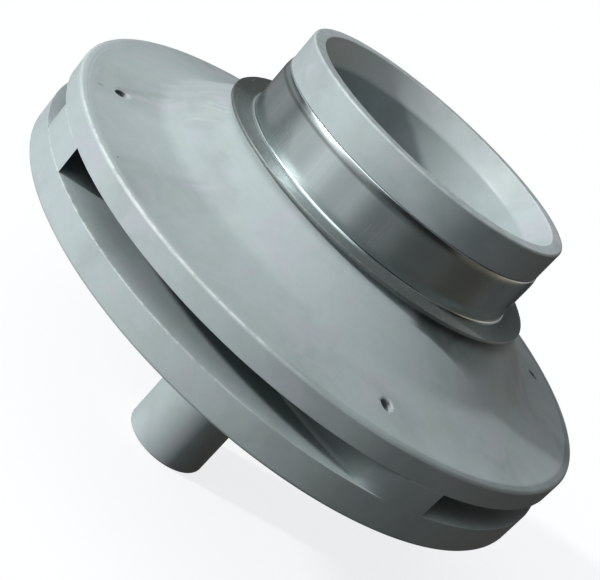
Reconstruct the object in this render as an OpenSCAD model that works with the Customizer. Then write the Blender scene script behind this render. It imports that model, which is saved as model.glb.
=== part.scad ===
// Closed pump impeller: two plastic mouldings welded together, with a steel wear ring and a threaded insert.
// The axis is Z. The origin is on the axis at the end face of the hub, and the suction eye faces +Z.

/* [Rims] */
// Outside diameter over both rims
impeller_d = 125; // [118:0.5:135]
// Height of the rear rim
rear_rim_h = 6.5; // [5.5:0.1:8]
// Clear height of the outlet between the rims
outlet_h = 5.5; // [5:0.1:7]
// Height of the front rim
front_rim_h = 4.8; // [4:0.1:6]
// Rounding of the rims' outer corners
rim_round = 0.7; // [0.3:0.1:1.2]
// Width of the flat land on top of the front rim
front_land_w = 0.9; // [0.6:0.1:3]
// Depth of the fine step between that land and the cone
land_step = 0.15; // [0.05:0.05:0.3]

/* [Front shroud] */
// Rise of the cone from the front rim to the seat of the wear ring
cone_rise = 11.8; // [11:0.1:13.5]
// Width of the cone's shallow outer part, from the rim's outside to the bend
cone_outer_w = 16.1; // [14:0.1:18]
// Height of the bend above the front rim
cone_bend_h = 3.05; // [2.6:0.05:3.6]
// Slope of the outer part where it meets the bend, in degrees
cone_bend_slope = 16.4; // [13:0.1:19]
// Reach of the bend's rounding on each side
cone_bend_round = 1.4; // [0.5:0.1:3]
// Height of the shoulder that carries the wear ring
shoulder_h = 1; // [0.5:0.1:1.5]
// Width of that shoulder outside the wear ring's bore
shoulder_w = 4.4; // [3.6:0.1:5]
// Height of the lip above the wear ring
lip_h = 7; // [5:0.1:9]
// Set-back of the lip's outside from the wear ring's running face
lip_setback = 0.35; // [0.1:0.05:0.6]
// Rounding of the lip's outer edge
lip_round = 0.5; // [0.2:0.1:1]
// Thickness of the neck between the wear ring's bore and the throat of the eye
neck_wall = 4.9; // [4:0.1:6]
// Width of the tapered lead-in round the throat
lead_in_w = 2.6; // [1.5:0.1:3]
// Height of the tapered lead-in
lead_in_h = 4.9; // [3:0.1:6]
// Radius of the flare under the throat
flare_r = 9.75; // [8.5:0.05:10.5]
// Height of the start of the flare above the wear ring's seat
flare_start = 4.5; // [4:0.1:6]
// Slope of the inner face where the flare ends, in degrees
flare_slope = 31; // [28:0.5:34]

/* [Small holes] */
// Diameter of the small hole in the front shroud over each vane
hole_d = 2.7; // [2:0.1:4]
// Radius of the circle that the small holes lie on
hole_ring_r = 54.2; // [52:0.1:56]
// Angle from a vane's pressure corner back to its small hole
hole_lag = 3.5; // [3:0.1:5]

/* [Wear ring] */
// Diameter of the wear ring's running face
ring_d = 64; // [60:0.1:68]
// Height of the wear ring from its seat to its upper edge
ring_h = 11.4; // [10:0.1:13]
// Thickness of the wear ring's wall
ring_wall = 0.8; // [0.5:0.1:1.2]
// Height of the rounded band at the upper edge, which is turned in
turn_h = 2; // [1.5:0.1:3]
// Amount by which that band is turned in
turn_in = 0.3; // [0.1:0.05:0.5]
// Width of the flange outside the running face
flange_w = 5.1; // [4:0.1:6]
// Thickness of the flange
flange_t = 0.7; // [0.5:0.1:1]
// Radius between the flange and the running face
foot_r = 0.8; // [0.5:0.1:1]

/* [Vanes] */
// Number of vanes
vane_count = 4; // [3:1:4]
// Angle of the first vane's pressure corner at the rim
vane_angle = 28.8; // [25:0.1:32]
// Width of a vane's end at the rim, in degrees
vane_deg = 15.2; // [13:0.1:17]
// Width of the narrower vane's end, in degrees
narrow_deg = 11.9; // [10:0.1:15]
// Position in the row of the narrower vane, as on the object
narrow_vane = 3; // [0:1:3]
// Angle between a vane and the rim at the outlet, in degrees
vane_outlet = 30; // [27:0.5:33]
// Radius of a vane's curve seen from the eye
vane_curve_r = 52; // [50:0.5:55]
// Radius of a vane's inner end at the hub
vane_start_r = 22; // [21:0.5:24]
// Length of the rounded nose at a vane's inner end
vane_nose = 3; // [2:0.1:4]
// Reach of the rounding where the pressure face meets the rim
tip_reach = 1; // [0.5:0.1:2]
// Angle that this rounding takes off a vane's end, in degrees
tip_deg = 4; // [2:0.1:5]

/* [Rear shroud] */
// Diameter of the hub
hub_d = 19.05; // [18.5:0.05:20]
// Length of the hub from its end face to the back of the rear rim
hub_reach = 41.5; // [36:0.5:48]
// Rounding of the hub's end
hub_round = 0.6; // [0.3:0.1:1]
// Diameter of the collar at the root of the hub
collar_d = 26; // [24:0.5:30]
// Length of the collar behind the rear rim
collar_h = 3; // [1:0.5:5]
// Width of the rear rim before the recess in its back
rear_rim_w = 4; // [3:0.1:6]
// Thickness of the rear shroud's wall
rear_wall = 3.5; // [3:0.1:4.5]
// Height of the nose cone's edge above the floor at the rim
nose_edge_h = 11.5; // [10:0.5:13]
// Radius of the nose cone's edge
nose_edge_r = 14; // [13:0.5:16]
// Height of the rounded nose above its edge
nose_h = 3.4; // [2:0.1:5]
// Width of the flat floor inside the rear rim
floor_w = 14; // [8:0.5:16]

/* [Shaft insert] */
// Outside diameter of the insert
insert_d = 14; // [13:0.1:15]
// Length of the insert
insert_len = 30; // [27:0.5:34]
// Diameter of the tapped hole at the crests of its thread
tap_d = 9.8; // [9:0.05:11]
// Depth of the tapped hole
tap_len = 25; // [20:0.5:26]
// Width of a retaining groove round the insert
groove_w = 3; // [2:0.1:4]
// Depth of a retaining groove
groove_depth = 0.8; // [0.4:0.1:1]
// Number of retaining grooves
groove_count = 3; // [1:1:3]

/* [Hidden] */
$fn = 96;
moulded_grey = [0.60, 0.65, 0.66];
steel = [0.78, 0.79, 0.80];
brass = [0.75, 0.60, 0.32];

rim_r = impeller_d / 2;
ring_r = ring_d / 2;
hub_r = hub_d / 2;
collar_r = collar_d / 2;

z_floor = hub_reach + rear_rim_h;
z_outlet = z_floor + outlet_h;
z_rim = z_outlet + front_rim_h;
z_seat = z_rim + cone_rise;
z_turn = z_seat + ring_h - turn_h;
z_ring = z_seat + ring_h;
z_lip = z_ring + lip_h;
z_nose_edge = z_floor + nose_edge_h;

neck_r = ring_r - ring_wall;
throat_r = neck_r - neck_wall;
lip_r = ring_r - lip_setback;
shoulder_r = neck_r + shoulder_w;
flare_end = [throat_r + flare_r * (1 - sin(flare_slope)), z_seat + flare_start - flare_r * cos(flare_slope)];
floor_edge = [rim_r - floor_w, z_floor];
past = 1;
arc_steps = 14;
crowding = 1.3;
round_steps = 5;
drill_angle = 118;
draft = 0.3;

// Points of the arc from p to q that leaves p in direction a0, in degrees.
function arc_to(p, q, a0, n) =
    let (chord = q - p,
         turned = atan2(chord.y, chord.x) - a0,
         half = turned - 360 * round(turned / 360),
         r = norm(chord) / (2 * sin(half)))
    [for (i = [0 : n])
        let (a = a0 + 2 * half * i / n)
        p + r * [sin(a) - sin(a0), cos(a0) - cos(a)]];

function reversed(v) = [for (i = [len(v) - 1 : -1 : 0]) v[i]];

function all_but_first(v) = [for (i = [1 : len(v) - 1]) v[i]];

// Section of the turned-in band at radius r, from the bend up to the wear ring's upper edge.
function turn_line(r) = arc_to([r, z_turn], [r - turn_in, z_ring], 90, round_steps);

// Outer face of the front shroud, from its land on the rim over the bend to the shoulder.
function cone_line() =
    let (land = [rim_r - rim_round - front_land_w, z_rim - land_step],
         shoulder = [shoulder_r, z_seat - shoulder_h],
         bend = [rim_r - cone_outer_w, z_rim + cone_bend_h],
         before = bend + cone_bend_round * [cos(cone_bend_slope), -sin(cone_bend_slope)],
         after = bend + cone_bend_round * (shoulder - bend) / norm(shoulder - bend))
    concat(
        reversed(arc_to(before, land, -cone_bend_slope, arc_steps)),
        all_but_first(arc_to(before, after, 180 - cone_bend_slope, round_steps)),
        [shoulder]);

// Inner face of the front shroud, from the end of the flare to the outlet.
function shroud_inner() = arc_to(flare_end, [rim_r, z_outlet], -flare_slope, arc_steps);

// Floor of the channels, from the flat by the rim up to the edge of the nose cone.
function floor_line() = arc_to(floor_edge, [nose_edge_r, z_nose_edge], 180, arc_steps);

// Rounded nose of the hub, from its edge to the axis.
function nose_line() =
    let (r = (nose_edge_r * nose_edge_r + nose_h * nose_h) / (2 * nose_h),
         a = asin(nose_edge_r / r))
    [for (i = [1 : round_steps]) r * [sin(a - a * i / round_steps), cos(a - a * i / round_steps)]
        + [0, z_nose_edge + nose_h - r]];

// Distance of the centre of a vane's curve from the axis.
function curve_centre() =
    sqrt(rim_r * rim_r + vane_curve_r * vane_curve_r - 2 * rim_r * vane_curve_r * cos(vane_outlet));

// Angle at the axis between the centre of a vane's curve and its point at radius r.
function curve_angle(r) =
    let (c = curve_centre())
    acos((c * c + r * r - vane_curve_r * vane_curve_r) / (2 * c * r));

// Angle by which a vane's face at radius r lags behind its corner at the rim.
function sweep(r) = curve_angle(r) - curve_angle(rim_r);

// Share of its full width that a vane has at radius r, which rounds its inner end.
function nose_share(r) =
    let (inset = max(0, vane_start_r + vane_nose - r) / vane_nose)
    sqrt(max(0, 1 - inset * inset));

// Rounding that leads the pressure face into the rim, as radius and angle, after its first point.
function tip_line() =
    [for (i = [1 : round_steps])
        let (a = 90 * i / round_steps)
        [rim_r - tip_reach * (1 - sin(a)), tip_deg * (1 - cos(a))]];

function polar(r, a) = r * [cos(a), sin(a)];

// Outline of one vane seen from the eye, with its pressure corner at angle 0 on the rim.
// Its points crowd towards the rounded inner end.
function vane_outline(width) =
    let (n = 2 * arc_steps,
         reach = rim_r - tip_reach - vane_start_r,
         radii = [for (i = [0 : n]) vane_start_r + reach * pow(i / n, crowding)])
    concat(
        [for (r = radii) polar(r, width / 2 * (1 - nose_share(r)) - sweep(r))],
        [for (p = tip_line()) polar(p.x, p.y - sweep(p.x))],
        [polar(rim_r + past, tip_deg), polar(rim_r + past, width), polar(rim_r, width)],
        [for (i = [n : -1 : 1])
            let (r = radii[i])
            polar(r, width / 2 * (1 + nose_share(r)) - sweep(r))]);

// Space that the vanes fill between the shrouds, as a section beside the axis.
module passage() {
    rotate_extrude()
        polygon(concat(
            shroud_inner(),
            [[rim_r, z_floor - past]],
            [for (p = floor_line()) p - [0, past]]));
}

module vane(width) {
    linear_extrude(height = flare_end.y + past)
        polygon(vane_outline(width));
}

module vanes() {
    intersection() {
        passage();
        for (i = [0 : vane_count - 1])
            rotate(vane_angle + i * 360 / vane_count)
                vane(i == narrow_vane ? narrow_deg : vane_deg);
    }
}

// Section of the insert. It also cuts the insert's seat in the hub.
module insert_section() {
    pitch = insert_len / (groove_count + 1);
    difference() {
        square([insert_d / 2, insert_len]);
        for (i = [1 : groove_count])
            translate([insert_d / 2 - groove_depth, i * pitch - groove_w / 2])
                square([groove_depth + past, groove_w]);
    }
}

module rear_shroud() {
    recess_r = rim_r - rear_rim_w;
    root = [collar_r + draft, z_nose_edge - rear_wall];
    color(moulded_grey)
    difference() {
        union() {
            rotate_extrude()
                polygon(concat(
                    [[0, 0]],
                    arc_to([hub_r - hub_round, 0], [hub_r, hub_round], 0, round_steps),
                    [[hub_r, hub_reach - collar_h], [collar_r, hub_reach - collar_h]],
                    reversed(arc_to(floor_edge - [0, rear_wall], root, 180, arc_steps)),
                    [[recess_r - draft, z_floor - rear_wall], [recess_r, hub_reach]],
                    arc_to([rim_r - rim_round, hub_reach], [rim_r, hub_reach + rim_round], 0, round_steps),
                    [[rim_r, z_floor]],
                    floor_line(),
                    nose_line()));
            vanes();
        }
        rotate_extrude()
            insert_section();
    }
}

module front_shroud() {
    color(moulded_grey)
    difference() {
        rotate_extrude()
            polygon(concat(
                all_but_first(shroud_inner()),
                arc_to([rim_r, z_rim - rim_round], [rim_r - rim_round, z_rim], 90, round_steps),
                [[rim_r - rim_round - front_land_w, z_rim]],
                cone_line(),
                [[shoulder_r, z_seat], [neck_r, z_seat]],
                turn_line(neck_r),
                [[lip_r, z_ring]],
                arc_to([lip_r, z_lip - lip_round], [lip_r - lip_round, z_lip], 90, round_steps),
                [[throat_r + lead_in_w, z_lip], [throat_r, z_lip - lead_in_h]],
                arc_to([throat_r, z_seat + flare_start], flare_end, -90, round_steps)));
        for (i = [0 : vane_count - 1])
            rotate(vane_angle - hole_lag + i * 360 / vane_count)
                translate([hole_ring_r, 0, z_outlet])
                    cylinder(d = hole_d, h = z_seat - z_outlet);
    }
}

module wear_ring() {
    color(steel)
    rotate_extrude()
        polygon(concat(
            [[neck_r, z_seat], [ring_r + flange_w, z_seat], [ring_r + flange_w, z_seat + flange_t]],
            arc_to([ring_r + foot_r, z_seat + flange_t], [ring_r, z_seat + flange_t + foot_r],
                180, round_steps),
            turn_line(ring_r),
            reversed(turn_line(neck_r))));
}

module shaft_insert() {
    cone_h = tap_d / 2 / tan(drill_angle / 2);
    color(brass)
    difference() {
        rotate_extrude()
            insert_section();
        translate([0, 0, -past])
            cylinder(d = tap_d, h = tap_len + past);
        translate([0, 0, tap_len])
            cylinder(d1 = tap_d, d2 = 0, h = cone_h);
    }
}

rear_shroud();
front_shroud();
wear_ring();
shaft_insert();
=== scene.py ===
"""Looks of a closed pump impeller: two moulded shrouds, a steel wear ring and a brass shaft insert.

Every size is in metres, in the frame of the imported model: the axis is Z, the origin is on the axis at
the end face of the hub, and the suction eye faces +Z.
"""

from __future__ import annotations

import logging
import math
import sys
from collections.abc import Iterable, Sequence
from dataclasses import dataclass, field
from enum import Enum
from typing import Any, ClassVar

import bmesh
import bpy
from mathutils import Matrix, Vector

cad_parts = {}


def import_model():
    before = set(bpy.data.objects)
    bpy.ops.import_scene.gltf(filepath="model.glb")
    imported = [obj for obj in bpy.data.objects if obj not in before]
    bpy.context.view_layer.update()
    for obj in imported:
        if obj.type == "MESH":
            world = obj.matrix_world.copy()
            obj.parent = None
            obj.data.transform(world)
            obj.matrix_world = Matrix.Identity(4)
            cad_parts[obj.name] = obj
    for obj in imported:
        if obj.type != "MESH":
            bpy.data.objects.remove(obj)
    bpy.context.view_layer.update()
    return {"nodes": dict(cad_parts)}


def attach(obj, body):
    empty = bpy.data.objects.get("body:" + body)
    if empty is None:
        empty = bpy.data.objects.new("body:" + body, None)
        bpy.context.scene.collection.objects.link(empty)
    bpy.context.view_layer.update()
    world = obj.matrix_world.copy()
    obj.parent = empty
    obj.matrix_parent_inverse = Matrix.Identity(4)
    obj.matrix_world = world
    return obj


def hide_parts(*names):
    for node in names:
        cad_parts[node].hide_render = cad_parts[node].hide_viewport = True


log = logging.getLogger("impeller")

MM = 0.001
BODY = "root"
SHARP_DEG = 32.0
CORE = 0.3  # share of a mark's reach over which it is at its full strength
Point = tuple[float, float]
Place = tuple[float, float, float]
Colour = tuple[float, float, float]


class Slot(Enum):
    """Material slots of the record, one for each finish."""

    PLASTIC = "moulded_plastic"
    STEEL = "stainless_steel"
    BRASS = "brass"


class Fineness(Enum):
    """Steps round the axis for a lathed piece."""

    SMOOTH = 360
    SMALL = 128
    HOLE = 64


@dataclass(frozen=True)
class Sizes:
    """Driving sizes of the impeller, shared by its pieces."""

    rim_r: float = 62.5 * MM
    hub_reach: float = 41.5 * MM
    rear_rim_h: float = 6.5 * MM
    outlet_h: float = 5.5 * MM
    front_rim_h: float = 4.8 * MM
    cone_rise: float = 11.8 * MM
    rim_round: float = 0.7 * MM
    ring_r: float = 32.0 * MM
    ring_wall: float = 0.8 * MM
    ring_h: float = 11.4 * MM
    turn_h: float = 2.0 * MM
    turn_in: float = 0.3 * MM
    lip_h: float = 7.0 * MM
    throat_r: float = 26.3 * MM
    hub_r: float = 9.525 * MM
    insert_r: float = 7.0 * MM
    insert_len: float = 30.0 * MM

    @property
    def z_floor(self) -> float:
        """Height of the floor of the channels at the rim."""
        return self.hub_reach + self.rear_rim_h

    @property
    def z_outlet(self) -> float:
        """Height of the underside of the front rim."""
        return self.z_floor + self.outlet_h

    @property
    def z_rim(self) -> float:
        """Height of the top of the front rim."""
        return self.z_outlet + self.front_rim_h

    @property
    def z_seat(self) -> float:
        """Height of the seat of the wear ring."""
        return self.z_rim + self.cone_rise

    @property
    def z_turn(self) -> float:
        """Height of the bend at the foot of the turned-in band."""
        return self.z_seat + self.ring_h - self.turn_h

    @property
    def z_ring(self) -> float:
        """Height of the upper edge of the wear ring."""
        return self.z_seat + self.ring_h

    @property
    def z_lip(self) -> float:
        """Height of the lip round the eye."""
        return self.z_ring + self.lip_h

    @property
    def neck_r(self) -> float:
        """Radius of the neck that the wear ring is pressed on."""
        return self.ring_r - self.ring_wall


SIZES = Sizes()


def arc_to(start: Point, end: Point, heading: float, steps: int) -> list[Point]:
    """Works out the arc that leaves its start in a given direction.

    Args:
        start: First point, as radius and height.
        end: Last point.
        heading: Direction in which the arc leaves its start, in degrees.
        steps: Number of straight steps.

    Returns:
        The points of the arc, its two ends among them.
    """
    across, up = end[0] - start[0], end[1] - start[1]
    turned = math.degrees(math.atan2(up, across)) - heading
    half = math.radians((turned + 180) % 360 - 180)
    radius = math.hypot(across, up) / (2 * math.sin(half))
    first = math.radians(heading)
    angles = [first + 2 * half * i / steps for i in range(steps + 1)]
    return [
        (start[0] + radius * (math.sin(a) - math.sin(first)), start[1] + radius * (math.cos(first) - math.cos(a)))
        for a in angles
    ]


def band(radius: float, steps: int = 6) -> list[Point]:
    """Gives the arched section of the ring's turned-in band, up to its upper edge, at one face of its wall."""
    return arc_to((radius, SIZES.z_turn), (radius - SIZES.turn_in, SIZES.z_ring), 90.0, steps)


def polar(v: Vector) -> tuple[float, float]:
    """Gives a point's radius and its angle in degrees, from 0 to 360."""
    return math.hypot(v.x, v.y), math.degrees(math.atan2(v.y, v.x)) % 360


def on_round(r: float, angle: float, z: float) -> Place:
    """Gives the place at a radius, an angle in degrees and a height."""
    return r * math.cos(math.radians(angle)), r * math.sin(math.radians(angle)), z


class Lathe:
    """Turns outlines round the Z axis, and rounds the edges that this makes."""

    weld = 1e-6
    reach = 5e-6

    @classmethod
    def turn(cls, outline: Sequence[Point], steps: int, start: float = 0.0, closed: bool = True) -> bmesh.types.BMesh:
        """Turns one outline a full circle.

        Args:
            outline: Points as radius and height.
            steps: Number of steps round the axis.
            start: Angle of the first column, in degrees.
            closed: Whether the last point joins the first one.

        Returns:
            A closed bmesh, with its faces pointing outwards.
        """
        bm = bmesh.new()
        a = math.radians(start)
        verts = [bm.verts.new((r * math.cos(a), r * math.sin(a), z)) for r, z in outline]
        pairs = list(zip(verts, verts[1:]))
        if closed:
            pairs.append((verts[-1], verts[0]))
        edges = [bm.edges.new(pair) for pair in pairs]
        bmesh.ops.spin(
            bm, geom=verts + edges, cent=(0, 0, 0), axis=(0, 0, 1), angle=math.tau, steps=steps, use_merge=True
        )
        bmesh.ops.remove_doubles(bm, verts=bm.verts, dist=cls.weld)
        bmesh.ops.dissolve_degenerate(bm, edges=bm.edges, dist=cls.weld / 10)
        bmesh.ops.recalc_face_normals(bm, faces=bm.faces)
        return bm

    @classmethod
    def ring(cls, bm: bmesh.types.BMesh, at: Point) -> list[bmesh.types.BMEdge]:
        """Finds the edges of the ring that one point of an outline made.

        Args:
            bm: The turned mesh.
            at: The point, as radius and height.

        Returns:
            The ring's edges.
        """

        def on(v: bmesh.types.BMVert) -> bool:
            """Tells whether a vertex is on the ring."""
            return math.hypot(math.hypot(v.co.x, v.co.y) - at[0], v.co.z - at[1]) < cls.reach

        return [e for e in bm.edges if on(e.verts[0]) and on(e.verts[1])]

    @staticmethod
    def soften(bm: bmesh.types.BMesh, edges: Iterable[bmesh.types.BMEdge], radius: float, segments: int = 3) -> None:
        """Rounds edges.

        Args:
            bm: The mesh that they belong to.
            edges: The edges.
            radius: Width of the rounding on each side.
            segments: Number of steps across it.
        """
        bmesh.ops.bevel(
            bm,
            geom=list(edges),
            offset=radius,
            offset_type="OFFSET",
            affect="EDGES",
            segments=segments,
            profile=0.5,
            material=-1,
            clamp_overlap=True,
        )

    @staticmethod
    def join(bm: bmesh.types.BMesh, other: bmesh.types.BMesh) -> None:
        """Adds a second mesh to a mesh, and frees the second one.

        Args:
            bm: The mesh that grows.
            other: The mesh that goes into it.
        """
        held = bpy.data.meshes.new("held")
        other.to_mesh(held)
        other.free()
        bm.from_mesh(held)
        bpy.data.meshes.remove(held)


def shade(mesh: bpy.types.Mesh, sharp: float = SHARP_DEG) -> None:
    """Shades a mesh smooth, but for edges between faces that meet at more than an angle in degrees."""
    mesh.shade_smooth()
    mesh.set_sharp_from_angle(angle=math.radians(sharp))


def finished(name: str, bm: bmesh.types.BMesh, sharp: float = SHARP_DEG) -> bpy.types.Object:
    """Makes an object of a bmesh, smooth but for its sharp edges.

    Args:
        name: Name of the piece.
        bm: The mesh, which is freed.
        sharp: Angle between faces past which their edge stays sharp, in degrees.

    Returns:
        The new object, at the origin.
    """
    mesh = bpy.data.meshes.new(name)
    bm.to_mesh(mesh)
    bm.free()
    shade(mesh, sharp)
    obj = bpy.data.objects.new(name, mesh)
    bpy.context.scene.collection.objects.link(obj)
    even = obj.modifiers.new("even_normals", "WEIGHTED_NORMAL")
    even.keep_sharp = True
    return obj


class Wire:
    """One shader socket. Expressions on wires add the Math nodes that work them out."""

    def __init__(self, graph: Graph, socket: bpy.types.NodeSocket) -> None:
        """Keeps the socket and the graph that it is in."""
        self.graph = graph
        self.socket = socket

    def math(self, operation: str, *others: Wire | float, clamp: bool = False) -> Wire:
        """Adds a Math node.

        Args:
            operation: The node's operation.
            *others: Its second and third values.
            clamp: Whether the result is held between 0 and 1.

        Returns:
            The node's result.
        """
        inputs = dict(enumerate((self, *others)))
        return self.graph.wire("ShaderNodeMath", {"operation": operation, "use_clamp": clamp}, inputs)

    def __add__(self, other: Wire | float) -> Wire:
        """Adds."""
        return self.math("ADD", other)

    __radd__ = __add__

    def __mul__(self, other: Wire | float) -> Wire:
        """Multiplies."""
        return self.math("MULTIPLY", other)

    __rmul__ = __mul__

    def __sub__(self, other: Wire | float) -> Wire:
        """Subtracts."""
        return self.math("SUBTRACT", other)

    def __rsub__(self, other: float) -> Wire:
        """Subtracts this wire from a number."""
        return self * -1 + other

    def __truediv__(self, other: Wire | float) -> Wire:
        """Divides."""
        return self.math("DIVIDE", other)

    def __pow__(self, other: float) -> Wire:
        """Raises to a power."""
        return self.math("POWER", other)

    def __abs__(self) -> Wire:
        """Drops the sign."""
        return self.math("ABSOLUTE")

    def step(self, low: float, high: float) -> Wire:
        """Gives a smooth step that rises from 0 at low to 1 at high, or falls where high is the lower one.

        Args:
            low: Value at which the step gives 0.
            high: Value at which it gives 1.

        Returns:
            The step, from 0 to 1.
        """
        settings = {"interpolation_type": "SMOOTHSTEP", "clamp": True}
        rising = low < high
        inputs = {
            "Value": self,
            "From Min": min(low, high),
            "From Max": max(low, high),
            "To Min": 0.0 if rising else 1.0,
            "To Max": 1.0 if rising else 0.0,
        }
        return self.graph.wire("ShaderNodeMapRange", settings, inputs)

    def near(self, value: float, width: float) -> Wire:
        """Gives 1 at a value, falling to 0 a width away from it."""
        return abs(self - value).step(width, 0.0)


Input = Wire | float | Sequence[float]


class Graph:
    """The nodes of one material or of the world, and the ways to add to them."""

    def __init__(self, tree: bpy.types.NodeTree) -> None:
        """Empties a node tree and keeps it."""
        tree.nodes.clear()
        self.tree = tree

    def node(self, kind: str, settings: dict[str, Any], inputs: dict[str | int, Input]) -> bpy.types.Node:
        """Adds a node.

        Args:
            kind: The node's type.
            settings: Its settings, set before the sockets.
            inputs: Values or wires for its sockets.

        Returns:
            The node.
        """
        node = self.tree.nodes.new(kind)
        for name, value in settings.items():
            setattr(node, name, value)
        for name, value in inputs.items():
            if isinstance(value, Wire):
                self.tree.links.new(value.socket, node.inputs[name])
            else:
                socket = node.inputs[name]
                is_colour = socket.type == "RGBA" and len(value) == 3
                socket.default_value = (*value, 1.0) if is_colour else value
        return node

    def wire(
        self, kind: str, settings: dict[str, Any], inputs: dict[str | int, Input], output: str | int = 0
    ) -> Wire:
        """Adds a node and gives one of its outputs."""
        return Wire(self, self.node(kind, settings, inputs).outputs[output])

    def place(self) -> Wire:
        """Gives the place on the piece, in metres."""
        return self.wire("ShaderNodeTexCoord", {}, {}, "Object")

    def round_place(self) -> tuple[Wire, Wire, Wire, Wire, Wire]:
        """Gives the place on the piece, its three numbers, and its distance from the Z axis.

        Returns:
            The place, x, y, z and the distance.
        """
        place = self.place()
        node = self.node("ShaderNodeSeparateXYZ", {}, {0: place})
        x, y, z = (Wire(self, output) for output in node.outputs)
        return place, x, y, z, (x * x + y * y) ** 0.5

    def vector(self, x: Input, y: Input, z: Input) -> Wire:
        """Joins three numbers into a vector."""
        return self.wire("ShaderNodeCombineXYZ", {}, {0: x, 1: y, 2: z})

    def scaled(self, vector: Wire, scale: Sequence[float]) -> Wire:
        """Stretches a pattern's vector along each axis."""
        return self.wire("ShaderNodeMapping", {"vector_type": "POINT"}, {"Vector": vector, "Scale": scale})

    def noise(self, vector: Wire, scale: float, detail: float = 2.0, distortion: float = 0.0) -> Wire:
        """Gives smooth noise around 0.5."""
        inputs = {"Vector": vector, "Scale": scale, "Detail": detail, "Roughness": 0.55, "Distortion": distortion}
        return self.wire("ShaderNodeTexNoise", {"noise_dimensions": "3D"}, inputs)

    def vector_math(self, operation: str, *inputs: Input) -> Wire:
        """Adds a Vector Math node whose result is a vector."""
        return self.wire("ShaderNodeVectorMath", {"operation": operation}, dict(enumerate(inputs)), "Vector")

    def vector_scaled(self, vector: Input, scale: Input) -> Wire:
        """Multiplies a vector by a number."""
        return self.wire("ShaderNodeVectorMath", {"operation": "SCALE"}, {0: vector, "Scale": scale}, "Vector")

    def dot(self, first: Wire, second: Input) -> Wire:
        """Gives the dot product of two vectors."""
        return self.wire("ShaderNodeVectorMath", {"operation": "DOT_PRODUCT"}, {0: first, 1: second}, "Value")

    def distance(self, vector: Wire, point: Input) -> Wire:
        """Gives the distance from a point."""
        return self.wire("ShaderNodeVectorMath", {"operation": "DISTANCE"}, {0: vector, 1: point}, "Value")

    def mix(self, share: Input, first: Input, second: Input) -> Wire:
        """Mixes two colours.

        Args:
            share: Share of the second colour, from 0 to 1.
            first: The first colour.
            second: The second colour.

        Returns:
            The mixed colour.
        """
        node = self.node(
            "ShaderNodeMix",
            {"data_type": "RGBA", "blend_type": "MIX", "clamp_factor": True},
            {0: share, 6: first, 7: second},
        )
        return Wire(self, node.outputs[2])

    def bump(self, height: Wire, distance: float, strength: float = 1.0, under: Wire | None = None) -> Wire:
        """Gives the normal of a surface with a relief.

        Args:
            height: The relief, between 0 and 1.
            distance: Its full height, in metres.
            strength: Share of it that is seen.
            under: Normal that the relief lies on, where it isn't the piece's own.

        Returns:
            The normal.
        """
        inputs: dict[str | int, Input] = {"Height": height, "Distance": distance, "Strength": strength}
        if under is not None:
            inputs["Normal"] = under
        return self.wire("ShaderNodeBump", {}, inputs, "Normal")

    def surface(self, inputs: dict[str | int, Input]) -> None:
        """Ends a material with a Principled shader."""
        shader = self.wire("ShaderNodeBsdfPrincipled", {}, inputs, "BSDF")
        self.node("ShaderNodeOutputMaterial", {}, {"Surface": shader})


def along(x: Wire, y: Wire, way: Point) -> Wire:
    """Gives how far a place lies from the Z axis in a level direction."""
    return x * way[0] + y * way[1]


def new_material(name: str) -> tuple[bpy.types.Material, Graph]:
    """Makes an empty material and its graph.

    Args:
        name: The material's name.

    Returns:
        The material and its graph.
    """
    material = bpy.data.materials.new(name)
    material.use_nodes = True
    return material, Graph(material.node_tree)


@dataclass(frozen=True)
class Spot:
    """A small mark at one place on a surface."""

    at: Place
    radius: float
    lightness: float


@dataclass(frozen=True)
class Scratch:
    """A fine straight scratch between two places on a surface."""

    start: Place
    end: Place
    width: float

    def mask(self, g: Graph, place: Wire) -> Wire:
        """Gives 1 along the scratch, falling to 0 at its sides.

        Args:
            g: The material's graph.
            place: The place on the piece.

        Returns:
            The scratch's share of the surface.
        """
        line = Vector(self.end) - Vector(self.start)
        off = g.vector_math("SUBTRACT", place, self.start)
        share = (g.dot(off, line) / line.length_squared).math("ADD", 0.0, clamp=True)
        nearest = g.vector_scaled(tuple(line), share)
        return g.distance(off, nearest).step(self.width, self.width * CORE)

    @staticmethod
    def total(g: Graph, place: Wire, scratches: Iterable[Scratch]) -> Wire | float:
        """Adds up the shares of several scratches.

        Args:
            g: The material's graph.
            place: The place on the piece.
            scratches: The scratches.

        Returns:
            Their shares of the surface, added up.
        """
        share: Wire | float = 0.0
        for scratch in scratches:
            share = scratch.mask(g, place) + share
        return share


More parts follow.
